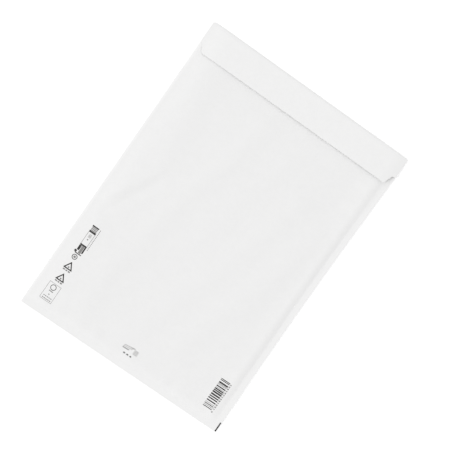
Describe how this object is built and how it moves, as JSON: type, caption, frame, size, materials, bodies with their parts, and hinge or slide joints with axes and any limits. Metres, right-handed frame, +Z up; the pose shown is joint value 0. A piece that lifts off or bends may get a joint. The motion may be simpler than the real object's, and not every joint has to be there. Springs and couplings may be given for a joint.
{
  "type": "padded envelope",
  "caption": "White paper postal envelope lined with bubble film, lying flat with its flap folded over the front and sealed strips at one side and the bottom.",
  "frame": {"origin": "under the middle of the envelope, on the surface it lies on", "axes": "+X across the envelope from the folded side to the seam, +Y along it to the flap's crease, +Z up out of the front"},
  "size_m": [0.32, 0.455, 0.0129],
  "materials": {
    "white_kraft_paper": "matt, uncoated",
    "bubble_film": "clear polyethylene, satin",
    "hot_melt": "tacky, glossy",
    "silicone_paper": "smooth, slightly glossy"
  },
  "bodies": {
    "root": {"paper_envelope": "white_kraft_paper", "bubble_liner": "bubble_film", "adhesive_strip": "hot_melt", "release_strip": "silicone_paper"}
  },
  "joints": []
}
